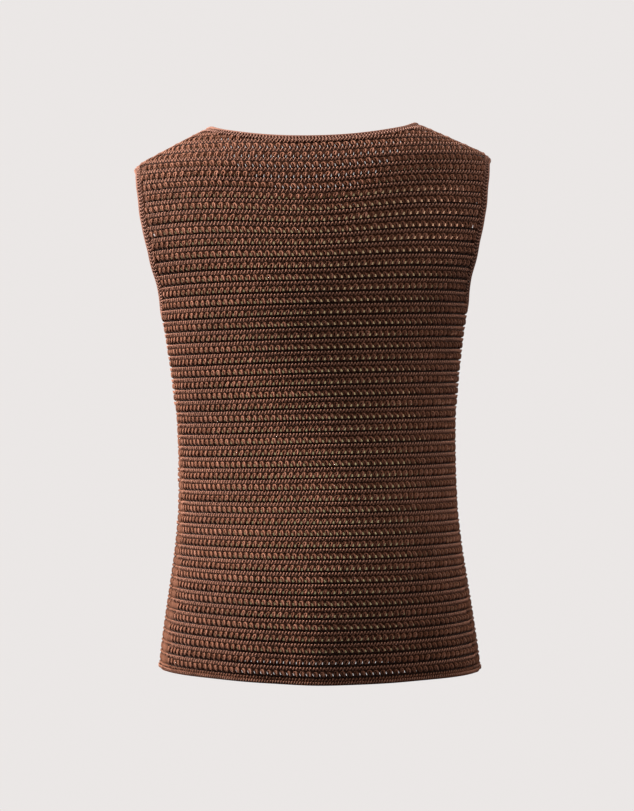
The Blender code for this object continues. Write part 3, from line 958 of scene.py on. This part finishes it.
def band_coils(points, off, square, cords):
    """Cords that coil along a band, one for each place across it, leaning each its own way."""
    turn = (np.arange(len(points)) + 0.5) * (2 * np.pi / TURN_POINTS)
    strands = []
    for cord in cords:
        reach = (cord.place - cord.lean * cord.half_height * np.cos(turn)) * MM
        stand = (cord.rise + cord.depth * np.sin(turn)) * MM
        strand = yarn_points(points + off * reach[:, None] + square * stand[:, None], stand)
        strands.append(np.concatenate([strand, strand[:1]]))
    return strands


def neck_stitches(points, off, square):
    """Short upright stitches side by side along the neckband."""
    reach, stand = np.array(NECK_STITCH_PLACES) * MM, np.array(NECK_STITCH_RISES) * MM
    laid = points[:, None] + off[:, None] * reach[:, None] + square[:, None] * stand[:, None]
    return yarn_points(laid, np.broadcast_to(stand, laid.shape[:2]))


def make_band(name, line, out_side, band, look):
    """A band: its close ground, its stitches and a smooth roll along the free edge."""
    _, yarn, ground = materials(look)
    points, normals, _ = even(*line, BAND_POINTS)
    off, square = edge_frames(points, normals, out_side)
    base = band_base(name + "_base", points, off, square, band.width, ground)
    strands = band_coils(*band_steps(line, out_side, band.pitch, TURN_POINTS), band.cords)
    swell = np.zeros(len(points))
    if name == "neckband":
        strands.append(neck_stitches(*band_steps(line, out_side, band.pitch, 1)))
        swell = np.exp(-(((np.abs(points[:, 0]) - NECK_POINT_HALF) / NECK_POINT_SPREAD) ** 2))
    stitches = make_yarn(name + "_stitches", strands, look.band_yarn_radius, yarn)
    far = BAND_GAP + band.width - ROLL_INSET * band.roll + NECK_POINT_LIFT * swell
    laid = points + off * far[:, None] + square * ROLL_STAND
    # The roll gets a little painted shade, for its set depth
    roll = yarn_points(laid, np.full(len(points), ROLL_SHADE), 1 + NECK_POINT_SWELL * swell)
    edge = make_yarn(name + "_edge", [np.concatenate([roll, roll[:1]])], band.roll, yarn, 8)
    for piece in (base, stitches, edge):
        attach(piece, "root")
    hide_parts(name)


# Settings and operators

class KnitLook(bpy.types.PropertyGroup):
    """Sizes and colours of the yarns."""

    yarn_radius: bpy.props.FloatProperty(
        name="Yarn radius", description="Half the thickness of the panels' yarn",
        default=0.85 * MM, subtype="DISTANCE")
    band_yarn_radius: bpy.props.FloatProperty(
        name="Band yarn radius", description="Half the thickness of the bands' yarn",
        default=0.75 * MM, subtype="DISTANCE")
    panel_colour: bpy.props.FloatVectorProperty(
        name="Panel colour", description="Colour of the panels' yarn",
        default=(0.25, 0.089, 0.044), size=3, subtype="COLOR")
    band_colour: bpy.props.FloatVectorProperty(
        name="Band colour", description="Colour of the bands' yarn",
        default=(0.24, 0.096, 0.058), size=3, subtype="COLOR")
    # Painted shade of the deepest knit, as a share of the yarn's own colour
    deep_shade: bpy.props.FloatProperty(
        name="Deep shade", description="How light the deepest knit is beside the yarn that stands out",
        default=0.065, min=0, max=1, subtype="FACTOR")


class StageLook(bpy.types.PropertyGroup):
    """Light and backdrop."""

    backdrop: bpy.props.FloatVectorProperty(
        name="Backdrop", description="Colour of the pale floor and backdrop",
        default=(0.83, 0.80, 0.79), size=3, subtype="COLOR")
    key_power: bpy.props.FloatProperty(
        name="Key power", description="Power of the soft light on the left",
        default=400.0, unit="POWER")
    soft_power: bpy.props.FloatProperty(
        name="Soft power", description="Power of the weak light on the back's side",
        default=66.0, unit="POWER")
    front_power: bpy.props.FloatProperty(
        name="Front power", description="Power of the weak light on the hidden front's side",
        default=40.0, unit="POWER")
    inside_power: bpy.props.FloatProperty(
        name="Inside power", description="Power of the light in the hollow, which shows through the holes",
        default=1.25, unit="POWER")
    top_power: bpy.props.FloatProperty(
        name="Top power", description="Power of the light over the neck",
        default=10.0, unit="POWER")
    fill_power: bpy.props.FloatProperty(
        name="Fill power", description="Power of the weak light on the right",
        default=40.0, unit="POWER")


class KNIT_OT_back_panel(bpy.types.Operator):
    """Makes the back panel's yarns"""

    bl_idname = "knit.back_panel"
    bl_label = "Back panel"

    def execute(self, context):
        make_panel(BACK, "back", context.scene.knit_look)
        return {"FINISHED"}


class KNIT_OT_front_panel(bpy.types.Operator):
    """Makes the front panel's yarns"""

    bl_idname = "knit.front_panel"
    bl_label = "Front panel"

    def execute(self, context):
        make_panel(FRONT, "front", context.scene.knit_look)
        return {"FINISHED"}


class KNIT_OT_shoulder_seams(bpy.types.Operator):
    """Makes the joins along the shoulders"""

    bl_idname = "knit.shoulder_seams"
    bl_label = "Shoulder seams"

    def execute(self, context):
        make_shoulder_seams(context.scene.knit_look)
        return {"FINISHED"}


class KNIT_OT_neckband(bpy.types.Operator):
    """Makes the neckband"""

    bl_idname = "knit.neckband"
    bl_label = "Neckband"

    def execute(self, context):
        make_band("neckband", neck_line(), -1, NECKBAND, context.scene.knit_look)
        return {"FINISHED"}


class KNIT_OT_armhole_bands(bpy.types.Operator):
    """Makes both armhole bands"""

    bl_idname = "knit.armhole_bands"
    bl_label = "Armhole bands"

    def execute(self, context):
        for side, name in ((LEFT, "armhole_band_left"), (RIGHT, "armhole_band_right")):
            make_band(name, armhole_line(side), -side, ARMHOLE_BAND, context.scene.knit_look)
        return {"FINISHED"}


class KNIT_OT_stage(bpy.types.Operator):
    """Makes the floor, the backdrop, the lights and the camera"""

    bl_idname = "knit.stage"
    bl_label = "Stage"

    def execute(self, context):
        make_stage(context.scene)
        return {"FINISHED"}


def make_backdrop(look):
    """A pale round floor that curves up into a wall all round."""
    radius, round_off, top = 5.0, 1.2, 4.5
    bend = np.linspace(0, np.pi / 2, 13)
    profile = [(0.0, FLOOR_LEVEL)]
    profile += [(radius - round_off + round_off * math.sin(a), FLOOR_LEVEL + round_off * (1 - math.cos(a)))
                for a in bend]
    profile += [(radius, top)]
    work = bmesh.new()
    corners = [work.verts.new((r, 0, z)) for r, z in profile]
    lines = [work.edges.new(pair) for pair in zip(corners[:-1], corners[1:])]
    bmesh.ops.spin(work, geom=corners + lines, cent=(0, 0, 0), axis=(0, 0, 1), angle=2 * math.pi,
                   steps=64, use_merge=True)
    bmesh.ops.remove_doubles(work, verts=work.verts[:], dist=1 * MM)
    bmesh.ops.recalc_face_normals(work, faces=work.faces[:])
    mesh = bpy.data.meshes.new("floor_and_backdrop")
    work.to_mesh(mesh)
    work.free()
    mesh.shade_smooth()
    material = bpy.data.materials.new("pale_backdrop")
    material.use_nodes = True
    set_inputs(material.node_tree.nodes["Principled BSDF"], {
        "Base Color": (0, 0, 0, 1), "Roughness": 1.0, "Specular IOR Level": 0.0,
        "Emission Color": (*look.backdrop, 1), "Emission Strength": 1.0})
    floor = new_object("floor_and_backdrop", mesh, material)
    floor.visible_diffuse = False


def add_area_light(name, place, size, power, target=(0, 0, CAMERA_Z)):
    """A square lamp that faces its target."""
    light = bpy.data.lights.new(name, "AREA")
    light.shape = "SQUARE"
    light.size = size
    light.energy = power
    made = new_object(name, light)
    made.location = place
    away = np.array(target) - np.array(place)
    flat = math.hypot(away[0], away[1])
    made.rotation_euler = (math.pi / 2 + math.atan2(away[2], flat), 0, math.atan2(-away[0], away[1]))
    return made


def make_stage(scene):
    look = scene.stage_look
    make_backdrop(look)
    add_area_light("key", (-2.8, -0.1, 1.2), 0.7, look.key_power)
    add_area_light("fill", (2.7, -0.35, 1.0), 0.7, look.fill_power)
    add_area_light("back_soft", (-0.3, -2.4, 2.2), 1.1, look.soft_power)
    front_soft = add_area_light("front_soft", (0.4, 2.8, 1.2), 1.2, look.front_power)
    front_soft.visible_camera = False
    inside = add_area_light("inside", (0, -0.03, INSIDE_Z), 0.2, look.inside_power, (0, 1, INSIDE_Z))
    inside.visible_camera = False
    inside.data.shape = "RECTANGLE"
    inside.data.size_y = 0.56
    inside.data.color = (0.52, 0.95, 0.78)
    add_area_light("top", (0.1, 0.3, 1.6), 0.8, look.top_power, (0, 0.05, 0))
    world = bpy.data.worlds.new("studio")
    world.use_nodes = True
    set_inputs(world.node_tree.nodes["Background"], {"Color": (1.0, 0.82, 0.68, 1), "Strength": 0.05})
    scene.world = world
    scene.view_settings.view_transform = "Standard"
    camera = bpy.data.cameras.new("camera")
    camera.sensor_width = SENSOR
    camera.lens = CAMERA_DISTANCE / PIXEL_AT_MIDDLE / PHOTO_HEIGHT * SENSOR
    camera.clip_end = 50
    made = new_object("camera", camera)
    made.location = (CAMERA_X, -CAMERA_DISTANCE, CAMERA_Z)
    made.rotation_euler = (math.pi / 2, CAMERA_ROLL, 0)
    scene.camera = made


class KNIT_PT_sidebar(bpy.types.Panel):
    """Lists the knit top's steps"""

    bl_idname = "KNIT_PT_sidebar"
    bl_label = "Knit top"
    bl_space_type = "VIEW_3D"
    bl_region_type = "UI"
    bl_category = "Knit top"

    def draw(self, context):
        look = context.scene.knit_look
        for name in ("yarn_radius", "band_yarn_radius", "panel_colour", "band_colour", "deep_shade"):
            self.layout.prop(look, name)
        for operator in STEPS:
            self.layout.operator(operator.bl_idname)


STEPS = (KNIT_OT_back_panel, KNIT_OT_front_panel, KNIT_OT_shoulder_seams, KNIT_OT_neckband,
         KNIT_OT_armhole_bands, KNIT_OT_stage)
CLASSES = (KnitLook, StageLook) + STEPS + (KNIT_PT_sidebar,)


def register():
    for each in CLASSES:
        bpy.utils.register_class(each)
    bpy.types.Scene.knit_look = bpy.props.PointerProperty(type=KnitLook)
    bpy.types.Scene.stage_look = bpy.props.PointerProperty(type=StageLook)


def unregister():
    del bpy.types.Scene.stage_look
    del bpy.types.Scene.knit_look
    for each in reversed(CLASSES):
        bpy.utils.unregister_class(each)


def main():
    register()
    bpy.ops.knit.back_panel()
    bpy.ops.knit.front_panel()
    bpy.ops.knit.shoulder_seams()
    bpy.ops.knit.neckband()
    bpy.ops.knit.armhole_bands()
    bpy.ops.knit.stage()


if __name__ == "__main__":
    main()
